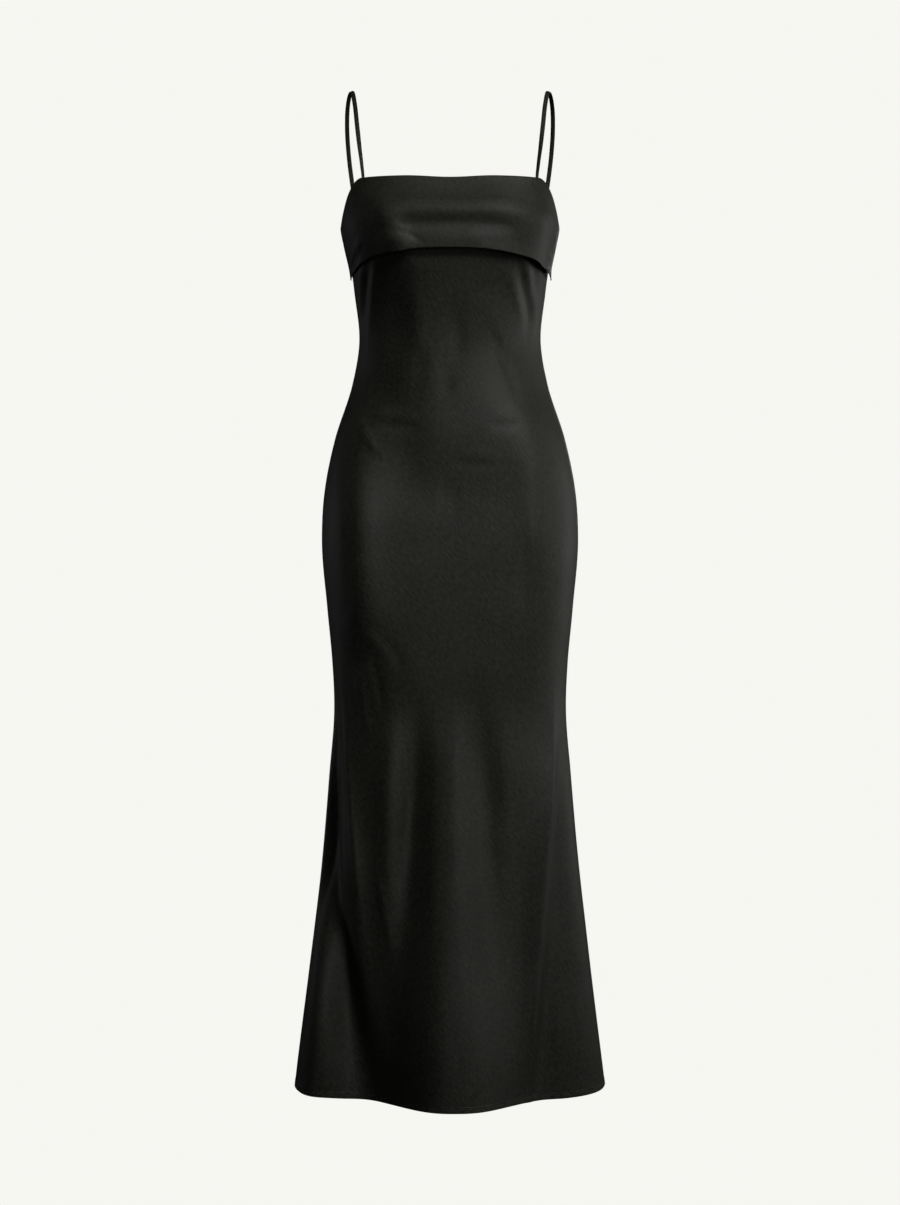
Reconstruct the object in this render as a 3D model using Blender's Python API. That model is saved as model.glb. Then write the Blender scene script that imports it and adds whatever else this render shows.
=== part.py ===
"""Bias-cut slip dress with a fold-over bust cuff and two narrow straps, filled out as worn.

Metres, +Z up, front towards -Y. The origin is midway between the two straps,
level with their undersides where they rest on the shoulders.
The cloth is two curved walls, front and back, that meet at the side seams. Their shape comes
from SECTIONS, a plan outline at each height, and FOLDS, the ridges and troughs on it.
"""

import math

import bmesh
import bpy
import numpy as np

# Driving sizes of the cloth
WALL = 0.0015
CUFF_WALL = 0.0016
SEAM_GAP = 0.0003
HEM_Z = -1.3780
HEM_LIFT_AT_SEAM = 0.0150
HEM_LIFT_REACH = 0.055

# Top edges. Each rises from the underarm, over ARMHOLE_REACH of cloth, to its strap corner.
UNDERARM_Z = -0.1886
FRONT_CORNER_Z = -0.1307
FRONT_DIP = 0.0026
FRONT_DIP_REACH = 0.067
FRONT_ARMHOLE_REACH = 0.0866
FRONT_ARMHOLE_POWER = 1.8
BACK_CORNER_Z = -0.1660
BACK_DIP = 0.0060
BACK_DIP_REACH = 0.110
BACK_ARMHOLE_REACH = 0.058
BACK_ARMHOLE_POWER = 1.0
TOP_BLOCK_Z = -0.300

# The cuff is folded out over the front's top edge and down again inside it.
CUFF_RETURN = 0.012
CUFF_CENTRE_REACH = 0.058
CUFF_SIDE_REACH = 0.108
CUFF_END_X = 0.150
CUFF_END_FADE = 0.035
ROLL_STEPS = 6

# Straps: flattened tubes, sewn inside the two top edges
STRAP_WIDTH = 0.0062
STRAP_THICK = 0.0022
STRAP_SEWN = 0.012
STRAP_EASE = 0.0006
STRAP_FRONT_X = 0.1212
STRAP_BACK_X = 0.1260
STRAP_SIDES = 10
STRAP_STATIONS = 42
STRAP_TILT = math.radians(20)
STRAP_TWIST = math.radians(62)
STRAP_TWIST_AT = 0.07
STRAP_TWIST_REACH = 0.11
STRAP_PINCH = 0.42
STRAP_PINCH_REACH = 0.16

# How finely each wall is divided
FRONT_COLUMNS = 37
BACK_COLUMNS = 31
TOP_ROWS = 9
BODY_ROWS = 35
CUFF_ROWS = 9
SECTION_SAMPLES = 96

FRONT, BACK = -1, 1

# Plan outline of the cloth's outside at each height. flat is how level it runs across the
# middle (2 is an ellipse) and corner how sharp it turns at the side seam (0.5 is an ellipse).
SECTION_COLUMNS = (
    "z", "half_width", "front", "back", "front_flat", "front_corner", "back_flat", "back_corner",
)
SECTIONS = (
    (-0.100, 0.1497, 0.0870, 0.0800, 3.20, 0.42, 2.20, 0.46),
    (-0.130, 0.1497, 0.0950, 0.0850, 3.40, 0.44, 2.20, 0.46),
    (-0.160, 0.1497, 0.1060, 0.0890, 3.80, 0.48, 2.20, 0.46),
    (-0.188, 0.1491, 0.1130, 0.0910, 4.00, 0.52, 2.20, 0.46),
    (-0.214, 0.1440, 0.1130, 0.0905, 3.80, 0.56, 2.20, 0.46),
    (-0.247, 0.1362, 0.1060, 0.0865, 3.40, 0.62, 2.20, 0.46),
    (-0.280, 0.1317, 0.0985, 0.0800, 3.00, 0.70, 2.15, 0.47),
    (-0.343, 0.1257, 0.0885, 0.0720, 2.80, 0.76, 2.10, 0.48),
    (-0.401, 0.1350, 0.0890, 0.0800, 3.00, 0.70, 2.10, 0.48),
    (-0.478, 0.1590, 0.0960, 0.1030, 4.00, 0.62, 2.15, 0.47),
    (-0.556, 0.1740, 0.0948, 0.1200, 5.00, 0.60, 2.20, 0.46),
    (-0.614, 0.1770, 0.0985, 0.1240, 5.00, 0.60, 2.20, 0.46),
    (-0.710, 0.1696, 0.0990, 0.1140, 4.20, 0.58, 2.20, 0.46),
    (-0.788, 0.1624, 0.0970, 0.1040, 3.20, 0.56, 2.15, 0.47),
    (-0.846, 0.1602, 0.0945, 0.0980, 2.60, 0.55, 2.10, 0.48),
    (-0.942, 0.1673, 0.0940, 0.0970, 2.80, 0.51, 2.05, 0.54),
    (-1.058, 0.1773, 0.0890, 0.0980, 3.30, 0.47, 2.00, 0.62),
    (-1.174, 0.1902, 0.0830, 0.1000, 3.70, 0.44, 2.00, 0.70),
    (-1.290, 0.2042, 0.0780, 0.1020, 4.10, 0.43, 2.00, 0.77),
    (-1.376, 0.2152, 0.0715, 0.1040, 4.20, 0.45, 2.00, 0.82),
)

# Ridges (height over 0) and troughs. Each runs from its top to its end, its width is a half
# width, bow is how far its middle stands to the right, and the two fades are the shares of
# its length over which it comes and goes; 0 lets it run out through the hem.
FOLD_COLUMNS = (
    "panel", "x_top", "z_top", "x_end", "z_end", "width_top", "width_end", "height",
    "fade_in", "fade_out", "bow", "roundness",
)
FOLDS = (
    # the skirt's front: one wide centre flute between two side troughs, with ridges above
    (FRONT, 0.004, -0.830, 0.006, -1.378, 0.050, 0.079, 0.0910, 1.15, 0.0, 0.0, 2.7),
    (FRONT, -0.172, -0.860, -0.080, -1.500, 0.010, 0.034, -0.0260, 0.50, 0.45, -0.028, 2.2),
    (FRONT, 0.157, -0.840, 0.118, -1.500, 0.012, 0.022, -0.0080, 0.35, 0.35, 0.0, 2.0),
    (FRONT, -0.146, -0.830, -0.116, -1.150, 0.010, 0.012, 0.0036, 0.30, 0.45, -0.002, 2.0),
    (FRONT, -0.167, -0.780, -0.158, -1.120, 0.020, 0.024, -0.0105, 0.40, 0.50, 0.0, 2.0),
    (FRONT, -0.156, -1.040, -0.186, -1.376, 0.012, 0.020, 0.0100, 0.60, 0.0, 0.0, 2.0),
    (FRONT, -0.083, -0.800, -0.078, -1.270, 0.018, 0.019, 0.0070, 0.36, 0.40, 0.0, 2.0),
    (FRONT, -0.042, -0.810, -0.066, -1.290, 0.015, 0.024, -0.0125, 0.35, 0.60, 0.0, 2.0),
    (FRONT, 0.006, -0.820, 0.022, -1.300, 0.022, 0.028, 0.0045, 0.30, 0.60, 0.0, 2.0),
    (FRONT, 0.038, -0.800, 0.057, -1.340, 0.019, 0.028, -0.0150, 0.30, 0.45, 0.0, 2.0),
    (FRONT, 0.143, -0.800, 0.101, -1.376, 0.013, 0.015, 0.0115, 0.35, 0.25, 0.0, 2.0),
    # the bodice's front: folds that fan out from under the cuff to the waist
    (FRONT, -0.118, -0.232, -0.121, -0.345, 0.006, 0.006, 0.0030, 0.30, 0.50, -0.002, 2.0),
    (FRONT, -0.110, -0.232, -0.119, -0.365, 0.007, 0.007, -0.0042, 0.30, 0.50, -0.002, 2.0),
    (FRONT, -0.101, -0.232, -0.117, -0.385, 0.007, 0.007, 0.0030, 0.30, 0.50, -0.002, 2.0),
    (FRONT, 0.099, -0.232, 0.120, -0.335, 0.007, 0.008, 0.0018, 0.30, 0.50, 0.002, 2.0),
    (FRONT, 0.090, -0.232, 0.117, -0.355, 0.008, 0.008, -0.0028, 0.30, 0.50, 0.002, 2.0),
    (FRONT, 0.117, -0.228, 0.116, -0.345, 0.006, 0.006, -0.0022, 0.25, 0.50, 0.0, 2.0),
    (FRONT, 0.011, -0.280, 0.010, -0.430, 0.012, 0.014, -0.0022, 0.50, 0.50, 0.0, 2.0),
    (FRONT, -0.073, -0.240, -0.078, -0.420, 0.020, 0.022, -0.0060, 0.40, 0.50, 0.0, 2.0),
    # the bust's left turn, under the cuff too
    (FRONT, -0.103, -0.142, -0.052, -0.270, 0.017, 0.020, 0.0074, 0.32, 0.50, 0.0, 2.0),
    # the belly and hips: a soft hollow on the left, over a fuller hip
    (FRONT, -0.084, -0.350, -0.058, -0.600, 0.034, 0.042, -0.0100, 0.40, 0.45, 0.0, 2.0),
    (FRONT, -0.108, -0.340, -0.110, -0.560, 0.026, 0.030, -0.0045, 0.40, 0.40, 0.0, 2.0),
    (FRONT, -0.130, -0.490, -0.112, -0.800, 0.026, 0.030, 0.0100, 0.35, 0.40, 0.0, 2.0),
    (FRONT, 0.112, -0.450, 0.112, -0.700, 0.022, 0.022, 0.0040, 0.40, 0.40, 0.0, 2.0),
    # the skirt's back: two flutes either side of a centre trough, and a trough by each seam
    (BACK, -0.060, -0.830, -0.088, -1.376, 0.040, 0.060, 0.0460, 1.10, 0.0, 0.0, 2.2),
    (BACK, 0.058, -0.810, 0.078, -1.376, 0.042, 0.064, 0.0500, 1.10, 0.0, 0.0, 2.2),
    (BACK, 0.152, -0.880, 0.155, -1.376, 0.012, 0.024, -0.0100, 0.80, 0.0, 0.0, 2.0),
    (BACK, -0.152, -0.900, -0.160, -1.376, 0.012, 0.024, -0.0100, 0.80, 0.0, 0.0, 2.0),
    (BACK, -0.020, -0.860, -0.030, -1.250, 0.014, 0.026, -0.0070, 0.35, 0.50, 0.0, 2.0),
    (BACK, 0.095, -0.800, 0.105, -1.180, 0.014, 0.022, 0.0050, 0.30, 0.60, 0.0, 2.0),
    # the back's waist: soft cross folds over the hollow, and one down from each strap
    (BACK, -0.085, -0.195, -0.108, -0.330, 0.010, 0.010, -0.0030, 0.40, 0.50, 0.0, 2.0),
    (BACK, 0.085, -0.195, 0.108, -0.330, 0.010, 0.010, -0.0030, 0.40, 0.50, 0.0, 2.0),
)
FOLD_FADE_AT_SEAM = 0.022

# Height of the cuff's lower edge from the middle (0) out to a side seam (1)
CUFF_LOW_COLUMNS = ("out", "z")
CUFF_LOW = (
    (0.00, -0.2265),
    (0.20, -0.2275),
    (0.39, -0.2315),
    (0.59, -0.2385),
    (0.76, -0.2480),
    (1.00, -0.2585),
)

# How far the cuff's middle layer stands off the front, at its middle and at its side seams,
# from its top (0) to its lower edge (1): a soft roll, a trough across the bust, a free edge.
CUFF_LIFT_COLUMNS = ("down", "left", "centre", "right")
CUFF_LIFTS = (
    (0.00, 0.0013, 0.0013, 0.0013),
    (0.12, 0.0022, 0.0020, 0.0019),
    (0.26, 0.0027, 0.0044, 0.0028),
    (0.38, 0.0028, 0.0082, 0.0044),
    (0.49, 0.0028, 0.0098, 0.0056),
    (0.69, 0.0028, 0.0042, 0.0052),
    (0.84, 0.0030, 0.0088, 0.0064),
    (1.00, 0.0034, 0.0112, 0.0102),
)

# The left strap's free route, from the front's top edge over the shoulder to the back's.
STRAP_ROUTE_COLUMNS = ("x", "y", "z")
STRAP_ROUTE = (
    (-0.1198, -0.0655, -0.1080),
    (-0.1224, -0.0610, -0.0880),
    (-0.1262, -0.0490, -0.0560),
    (-0.1306, -0.0275, -0.0190),
    (-0.1338, -0.0130, -0.0028),
    (-0.1368, 0.0040, 0.0021),
    (-0.1402, 0.0215, -0.0030),
    (-0.1428, 0.0350, -0.0160),
    (-0.1438, 0.0465, -0.0400),
    (-0.1424, 0.0550, -0.0700),
    (-0.1390, 0.0585, -0.1020),
    (-0.1340, 0.0565, -0.1330),
)

COLOURS = {
    "front_panel": (0.0135, 0.0135, 0.0120),
    "back_panel": (0.0135, 0.0135, 0.0120),
    "bust_cuff": (0.0145, 0.0145, 0.0130),
    "strap": (0.0110, 0.0110, 0.0100),
}
ROUGHNESS = 0.55


def smoothstep(t):
    t = np.clip(t, 0.0, 1.0)
    return t * t * (3.0 - 2.0 * t)


def curve_through(xs, ys, at):
    """Cubic Hermite curve through the points, read at these places; xs may run down."""
    xs, ys = np.asarray(xs, float), np.asarray(ys, float)
    if xs[0] > xs[-1]:
        xs, ys = xs[::-1], ys[::-1]
    at = np.clip(at, xs[0], xs[-1])
    slope = np.gradient(ys, xs)
    i = np.clip(np.searchsorted(xs, at) - 1, 0, len(xs) - 2)
    step = xs[i + 1] - xs[i]
    t = (at - xs[i]) / step
    return (
        (2 * t**3 - 3 * t**2 + 1) * ys[i]
        + (t**3 - 2 * t**2 + t) * step * slope[i]
        + (3 * t**2 - 2 * t**3) * ys[i + 1]
        + (t**3 - t**2) * step * slope[i + 1]
    )


def section_value(name, z):
    column = SECTION_COLUMNS.index(name)
    return curve_through([row[0] for row in SECTIONS], [row[column] for row in SECTIONS], z)


def section_point(panel, u, z):
    """A point of the plan outline, u of the way from the middle (0) to a seam (+-1) along
    the cloth, as x, y, the outward plan normal and the cloth's length from there to the seam."""
    side = "front" if panel == FRONT else "back"
    half = section_value("half_width", z)[..., None]
    depth = section_value(side, z)[..., None]
    flat = section_value(side + "_flat", z)[..., None]
    corner = section_value(side + "_corner", z)[..., None]
    turn = np.linspace(0.0, math.pi / 2, SECTION_SAMPLES)
    xs = half * np.cos(turn) ** (2.0 / flat)
    ys = depth * np.sin(turn) ** (2.0 * corner)
    xs[..., -1] = 0.0
    steps = np.hypot(np.diff(xs, axis=-1), np.diff(ys, axis=-1))
    run = np.concatenate([np.zeros(steps.shape[:-1] + (1,)), np.cumsum(steps, axis=-1)], axis=-1)
    to_seam = (1.0 - np.abs(u)) * run[..., -1]
    i = np.clip((run <= to_seam[..., None]).sum(axis=-1) - 1, 0, SECTION_SAMPLES - 2)[..., None]

    def read(values, at):
        return np.take_along_axis(values, at, axis=-1)[..., 0]

    step = np.maximum(read(steps, i), 1e-12)
    t = (to_seam - read(run, i)) / step
    along_x, along_y = read(xs, i + 1) - read(xs, i), read(ys, i + 1) - read(ys, i)
    x = read(xs, i) + t * along_x
    y = read(ys, i) + t * along_y
    right = np.where(u < 0, -1.0, 1.0)
    x_out, y_out = along_y / step, -along_x / step
    return x * right, panel * (y + SEAM_GAP / 2), x_out * right, panel * y_out, to_seam


def fold_offset(panel, x, z, to_seam):
    """How far the folds move the cloth outwards at a point of the plan outline."""
    total = np.zeros_like(x)
    for row in FOLDS:
        fold = dict(zip(FOLD_COLUMNS, row))
        if fold["panel"] != panel:
            continue
        t = (fold["z_top"] - z) / (fold["z_top"] - fold["z_end"])
        inside = np.clip(t, 0.0, 1.0)
        x_at = fold["x_top"] + (fold["x_end"] - fold["x_top"]) * inside
        x_at = x_at + fold["bow"] * 4 * inside * (1 - inside)
        width = fold["width_top"] + (fold["width_end"] - fold["width_top"]) * inside
        strength = smoothstep(t / fold["fade_in"])
        if fold["fade_out"] > 0:
            strength = strength * smoothstep((1 - t) / fold["fade_out"])
        across = np.abs((x - x_at) / width) ** fold["roundness"]
        total += fold["height"] * strength * np.exp(-across)
    return total * smoothstep(to_seam / FOLD_FADE_AT_SEAM)


def cloth_point(panel, u, z):
    """The cloth's outside, folds included."""
    x, y, x_out, y_out, to_seam = section_point(panel, u, z)
    offset = fold_offset(panel, x, z, to_seam)
    return np.stack([x + x_out * offset, y + y_out * offset, z], axis=-1)


def outward(panel, u, z):
    """Unit normals of the cloth's outside. At a side seam they point straight out, so that
    the two walls end on one plane."""
    du, dz = 0.004, 0.001
    across = cloth_point(panel, np.clip(u + du, -1, 1), z) - cloth_point(
        panel, np.clip(u - du, -1, 1), z
    )
    down = cloth_point(panel, u, z - dz) - cloth_point(panel, u, z + dz)
    normal = np.cross(down, across) * -panel
    normal /= np.linalg.norm(normal, axis=-1, keepdims=True)
    seam = np.abs(u) > 0.9999
    straight = np.stack([np.sign(u), np.zeros_like(u), np.zeros_like(u)], axis=-1)
    return np.where(seam[..., None], straight, normal)


def half_length(panel, z):
    """The cloth's length from the middle to a side seam at this height."""
    z = np.asarray(z, float)
    return section_point(panel, np.zeros_like(z), z)[4]


def top_edge(panel, u):
    """Height of a panel's top edge: the armhole from the underarm up, then the neckline."""
    to_seam = (1 - np.abs(u)) * half_length(panel, UNDERARM_Z)
    from_middle = np.abs(u) * half_length(panel, UNDERARM_Z)
    if panel == FRONT:
        reach, power, corner = FRONT_ARMHOLE_REACH, FRONT_ARMHOLE_POWER, FRONT_CORNER_Z
        dip, dip_reach = FRONT_DIP, FRONT_DIP_REACH
    else:
        reach, power, corner = BACK_ARMHOLE_REACH, BACK_ARMHOLE_POWER, BACK_CORNER_Z
        dip, dip_reach = BACK_DIP, BACK_DIP_REACH
    rise = smoothstep(to_seam / reach) ** power
    return UNDERARM_Z + (corner - UNDERARM_Z) * rise - dip * (1 - smoothstep(from_middle / dip_reach))


def hem_edge(panel, u):
    """Height of the hem, which each side seam draws up a little."""
    to_seam = (1 - np.abs(u)) * half_length(panel, HEM_Z)
    return HEM_Z + HEM_LIFT_AT_SEAM * np.exp(-to_seam / HEM_LIFT_REACH)


def panel_heights(panel, u):
    """Rows from the top edge down to the hem, level below TOP_BLOCK_Z."""
    top, hem = top_edge(panel, u), hem_edge(panel, u)
    rows = [top + (TOP_BLOCK_Z - top) * t for t in np.linspace(0, 1, TOP_ROWS)]
    for t in np.linspace(0, 1, BODY_ROWS + 1)[1:]:
        rows.append(TOP_BLOCK_Z + (HEM_Z - TOP_BLOCK_Z) * t + (hem - HEM_Z) * t**12)
    return np.array(rows)


def cloth_material(name, colour):
    material = bpy.data.materials.new(name)
    material.use_nodes = True
    shader = material.node_tree.nodes["Principled BSDF"]
    shader.inputs["Base Color"].default_value = (*colour, 1.0)
    shader.inputs["Roughness"].default_value = ROUGHNESS
    shader.inputs["Metallic"].default_value = 0.0
    return material


def add_object(name, mesh_points, faces, material):
    mesh = bpy.data.meshes.new(name)
    mesh.from_pydata([tuple(p) for p in mesh_points], [], faces)
    shaped = bmesh.new()
    shaped.from_mesh(mesh)
    bmesh.ops.recalc_face_normals(shaped, faces=shaped.faces)
    shaped.to_mesh(mesh)
    shaped.free()
    mesh.materials.append(material)
    mesh.shade_smooth()
    mesh.set_sharp_from_angle(angle=math.radians(50))
    obj = bpy.data.objects.new(name, mesh)
    bpy.context.scene.collection.objects.link(obj)
    return obj


def add_wall(name, outside, inside, material):
    """A closed wall between two grids of the same rows and columns."""
    rows, columns = outside.shape[:2]
    points = np.concatenate([outside.reshape(-1, 3), inside.reshape(-1, 3)])
    back = rows * columns

    def at(r, c):
        return r * columns + c

    faces = []
    for r in range(rows - 1):
        for c in range(columns - 1):
            quad = (at(r, c), at(r, c + 1), at(r + 1, c + 1), at(r + 1, c))
            faces.append(quad)
            faces.append(tuple(back + i for i in reversed(quad)))
    ring = [at(0, c) for c in range(columns - 1)]
    ring += [at(r, columns - 1) for r in range(rows - 1)]
    ring += [at(rows - 1, c) for c in range(columns - 1, 0, -1)]
    ring += [at(r, 0) for r in range(rows - 1, 0, -1)]
    for i, j in zip(ring, ring[1:] + ring[:1]):
        faces.append((i, back + i, back + j, j))
    return add_object(name, points, faces, material)


def wall_inside(panel, u, z):
    """The cloth's inside. At a side seam it stays on the seam's plane."""
    outside, normal = cloth_point(panel, u, z), outward(panel, u, z)
    near = outward(panel, u * 0.99, z)
    seam = np.abs(u) > 0.9999
    depth = np.where(seam, WALL / np.maximum(np.abs(near[..., 0]), 0.6), WALL)
    return outside - normal * depth[..., None]


def build_panel(name, panel, columns):
    u = np.linspace(-1, 1, columns)
    z = panel_heights(panel, u)
    u = np.broadcast_to(u, z.shape)
    material = cloth_material(name, COLOURS[name])
    return add_wall(name, cloth_point(panel, u, z), wall_inside(panel, u, z), material)


def cuff_low_edge(u):
    return curve_through([row[0] for row in CUFF_LOW], [row[1] for row in CUFF_LOW], np.abs(u))


def cuff_lift(down, x):
    """How far the cuff's middle layer stands off the front."""
    downs = [row[0] for row in CUFF_LIFTS]
    left, centre, right = (
        curve_through(downs, [row[k] for row in CUFF_LIFTS], down) for k in (1, 2, 3)
    )
    to_side = smoothstep((np.abs(x) - CUFF_CENTRE_REACH) / (CUFF_SIDE_REACH - CUFF_CENTRE_REACH))
    lift = centre + (np.where(x < 0, left, right) - centre) * to_side
    caught = smoothstep((CUFF_END_X - np.abs(x)) / CUFF_END_FADE)
    return CUFF_LIFTS[0][1] + (lift - CUFF_LIFTS[0][1]) * caught


def build_cuff():
    """The band, in one J-shaped wall: up the outside, over the front's edge, down inside."""
    u = np.linspace(-1, 1, FRONT_COLUMNS)
    top, low = top_edge(FRONT, u), cuff_low_edge(u)
    edge, edge_out = cloth_point(FRONT, u, top), outward(FRONT, u, top)
    along = np.gradient(edge, axis=0)
    up = np.cross(edge_out, along)
    up /= np.linalg.norm(up, axis=-1, keepdims=True)
    up *= np.sign(up[:, 2])[:, None]
    up[0] = up[-1] = (0, 0, 1)
    middle, normal = [], []
    for down in np.linspace(1, 0, CUFF_ROWS):
        z = top + (low - top) * down
        out = outward(FRONT, u, z)
        point = cloth_point(FRONT, u, z)
        middle.append(point + out * cuff_lift(down, point[:, 0])[:, None])
        normal.append(out)
    spine = edge - edge_out * (WALL / 2)
    radius = WALL / 2 + CUFF_LIFTS[0][1]
    for angle in np.linspace(0, math.pi, ROLL_STEPS + 1)[1:]:
        radial = edge_out * math.cos(angle) + up * math.sin(angle)
        middle.append(spine + radial * radius)
        normal.append(radial)
    z = top - CUFF_RETURN
    out = outward(FRONT, u, z)
    middle.append(cloth_point(FRONT, u, z) - out * (WALL + CUFF_LIFTS[0][1]))
    normal.append(-out)
    middle, normal = np.array(middle), np.array(normal)
    half = CUFF_WALL / 2
    material = cloth_material("bust_cuff", COLOURS["bust_cuff"])
    return add_wall("bust_cuff", middle + normal * half, middle - normal * half, material)


def u_at_x(panel, x, z):
    """Where on the cloth this x lies at this height."""
    us = np.linspace(0, 1, 400)
    xs = section_point(panel, us, np.full_like(us, z))[0]
    return float(np.interp(abs(x), xs, us)) * (1 if x > 0 else -1)


def sewn_end(panel, x, inset):
    """Centre points and outward normals of a strap's sewn end, lowest first."""
    u = u_at_x(panel, x, UNDERARM_Z if panel == BACK else FRONT_CORNER_Z)
    top = float(top_edge(panel, np.array(u)))
    points, normals = [], []
    for z in (top - STRAP_SEWN, top - STRAP_SEWN / 2, top):
        at, height = np.array(u), np.array(z)
        normal = outward(panel, at, height)
        points.append(cloth_point(panel, at, height) - normal * inset)
        normals.append(normal)
    return points, normals


def strap_route():
    """Every point of the left strap's centre line, from its front end to its back end."""
    front_inset = WALL + CUFF_LIFTS[0][1] + CUFF_WALL / 2 + STRAP_EASE + STRAP_THICK / 2
    back_inset = WALL + STRAP_EASE + STRAP_THICK / 2
    front, front_out = sewn_end(FRONT, -STRAP_FRONT_X, front_inset)
    back, back_out = sewn_end(BACK, -STRAP_BACK_X, back_inset)
    points = np.array(front + [np.array(p) for p in STRAP_ROUTE] + back[::-1])
    return points, front_out[1], back_out[1]


def strap_rings(mirror):
    """The strap's oval outline at each station of a smooth curve through its route."""
    points, front_out, back_out = strap_route()
    run = np.concatenate([[0], np.cumsum(np.linalg.norm(np.diff(points, axis=0), axis=1))])
    at = np.linspace(0, run[-1], STRAP_STATIONS)
    centre = np.stack([curve_through(run, points[:, k], at) for k in range(3)], axis=1)
    tangent = np.gradient(centre, axis=0)
    tangent /= np.linalg.norm(tangent, axis=1, keepdims=True)
    share = at / run[-1]
    rings = []
    for point, ahead, s in zip(centre, tangent, share):
        flat_front = np.cross(front_out, ahead)
        flat_back = np.cross(ahead, back_out)
        sideways = np.array((math.cos(STRAP_TILT), 0.0, math.sin(STRAP_TILT)))
        front_share = 1 - smoothstep((s - 0.06) / 0.10)
        back_share = smoothstep((s - 0.84) / 0.10)
        flat_front *= np.sign(flat_front[0])
        flat_back *= np.sign(flat_back[0])
        wide = flat_front * front_share + flat_back * back_share
        wide = wide + sideways * (1 - front_share - back_share)
        wide -= ahead * (wide @ ahead)
        wide /= np.linalg.norm(wide)
        thick = np.cross(ahead, wide)
        twist = STRAP_TWIST * math.exp(-(((s - STRAP_TWIST_AT) / STRAP_TWIST_REACH) ** 2))
        twist *= smoothstep((s - 0.03) / 0.03)
        turned = wide * math.cos(twist) + thick * math.sin(twist)
        across = np.cross(ahead, turned)
        width = STRAP_WIDTH * (1 - STRAP_PINCH * (1 - smoothstep(s / STRAP_PINCH_REACH)))
        ring = []
        for k in range(STRAP_SIDES):
            angle = 2 * math.pi * k / STRAP_SIDES
            offset = turned * math.cos(angle) * width / 2
            offset = offset + across * math.sin(angle) * STRAP_THICK / 2
            ring.append((point + offset) * (-1 if mirror else 1, 1, 1))
        rings.append(ring)
    return np.array(rings)


def build_strap(name, mirror):
    rings = strap_rings(mirror)
    stations, sides = rings.shape[:2]
    faces = []
    for r in range(stations - 1):
        for k in range(sides):
            j = (k + 1) % sides
            faces.append((r * sides + k, r * sides + j, (r + 1) * sides + j, (r + 1) * sides + k))
    faces.append(tuple(range(sides)))
    faces.append(tuple((stations - 1) * sides + k for k in range(sides)))
    material = cloth_material(name, COLOURS["strap"])
    return add_object(name, rings.reshape(-1, 3), faces, material)


def main():
    for obj in list(bpy.data.objects):
        bpy.data.objects.remove(obj)
    build_panel("front_panel", FRONT, FRONT_COLUMNS)
    build_panel("back_panel", BACK, BACK_COLUMNS)
    build_cuff()
    build_strap("strap_left", mirror=False)
    build_strap("strap_right", mirror=True)


main()
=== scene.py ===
"""The looks of the slip dress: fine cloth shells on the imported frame, their weave, hem and seams.

Metres, in the row's frame: front towards -Y, +Z up, the origin between the straps' undersides.
The cloth's form comes from tables: SECTIONS, a plan outline at each height, FOLDS, its large
ridges and troughs, and CREASES, its small ones.
"""

import math

import bmesh
import bpy
import numpy as np
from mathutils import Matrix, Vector, noise

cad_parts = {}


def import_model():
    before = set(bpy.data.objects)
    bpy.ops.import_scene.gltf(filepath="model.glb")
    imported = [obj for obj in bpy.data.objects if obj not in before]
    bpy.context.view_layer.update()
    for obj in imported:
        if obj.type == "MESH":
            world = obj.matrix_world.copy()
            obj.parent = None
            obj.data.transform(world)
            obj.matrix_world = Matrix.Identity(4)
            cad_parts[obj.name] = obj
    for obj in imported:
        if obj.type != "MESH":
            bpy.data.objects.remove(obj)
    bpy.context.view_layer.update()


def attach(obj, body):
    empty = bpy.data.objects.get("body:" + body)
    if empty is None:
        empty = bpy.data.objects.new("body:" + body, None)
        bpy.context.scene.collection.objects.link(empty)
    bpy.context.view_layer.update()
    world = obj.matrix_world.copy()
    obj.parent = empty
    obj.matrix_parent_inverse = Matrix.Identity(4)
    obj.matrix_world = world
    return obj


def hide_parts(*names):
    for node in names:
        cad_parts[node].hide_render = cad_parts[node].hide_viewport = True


FRONT, BACK = -1, 1

# Cloth. The cuff and the straps are placed clear of the solids' wall, which is thicker.
WALL = 0.0009
CAD_WALL = 0.0015
HEM_Z = -1.3780
HEM_LIFT_AT_SEAM = 0.0150
HEM_LIFT_REACH = 0.055

# Side seams: the two panels overlap a hair there, and the cloth is drawn in beside the seam.
SEAM_OVERLAP = 0.0001
SEAM_GROOVE = 0.0011
SEAM_GROOVE_REACH = 0.0022

# Turned edges, along the hem and the back's top: a doubled strip that ends in a step, and one
# line of stitches in a groove. Each stitch is proud of the cloth by a share of its radius.
TURN_RISE = 0.0003
TURN_END = 0.0083
TURN_STEP = 0.0010
STITCH_INSET = 0.0062
STITCH_GROOVE = 0.00025
STITCH_GROOVE_REACH = 0.0006
STITCH_PITCH = 0.0030
STITCH_LENGTH = 0.0022
STITCH_RADIUS = 0.00022
STITCH_PROUD_SHARE = 0.6

# Top edges. Each rises from the underarm, over ARMHOLE_REACH of cloth, to its strap corner.
UNDERARM_Z = -0.1886
FRONT_CORNER_Z = -0.1307
FRONT_DIP = 0.0026
FRONT_DIP_REACH = 0.067
FRONT_ARMHOLE_REACH = 0.0866
FRONT_ARMHOLE_POWER = 1.8
BACK_CORNER_Z = -0.1660
BACK_DIP = 0.0060
BACK_DIP_REACH = 0.110
BACK_ARMHOLE_REACH = 0.058
BACK_ARMHOLE_POWER = 1.0

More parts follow.
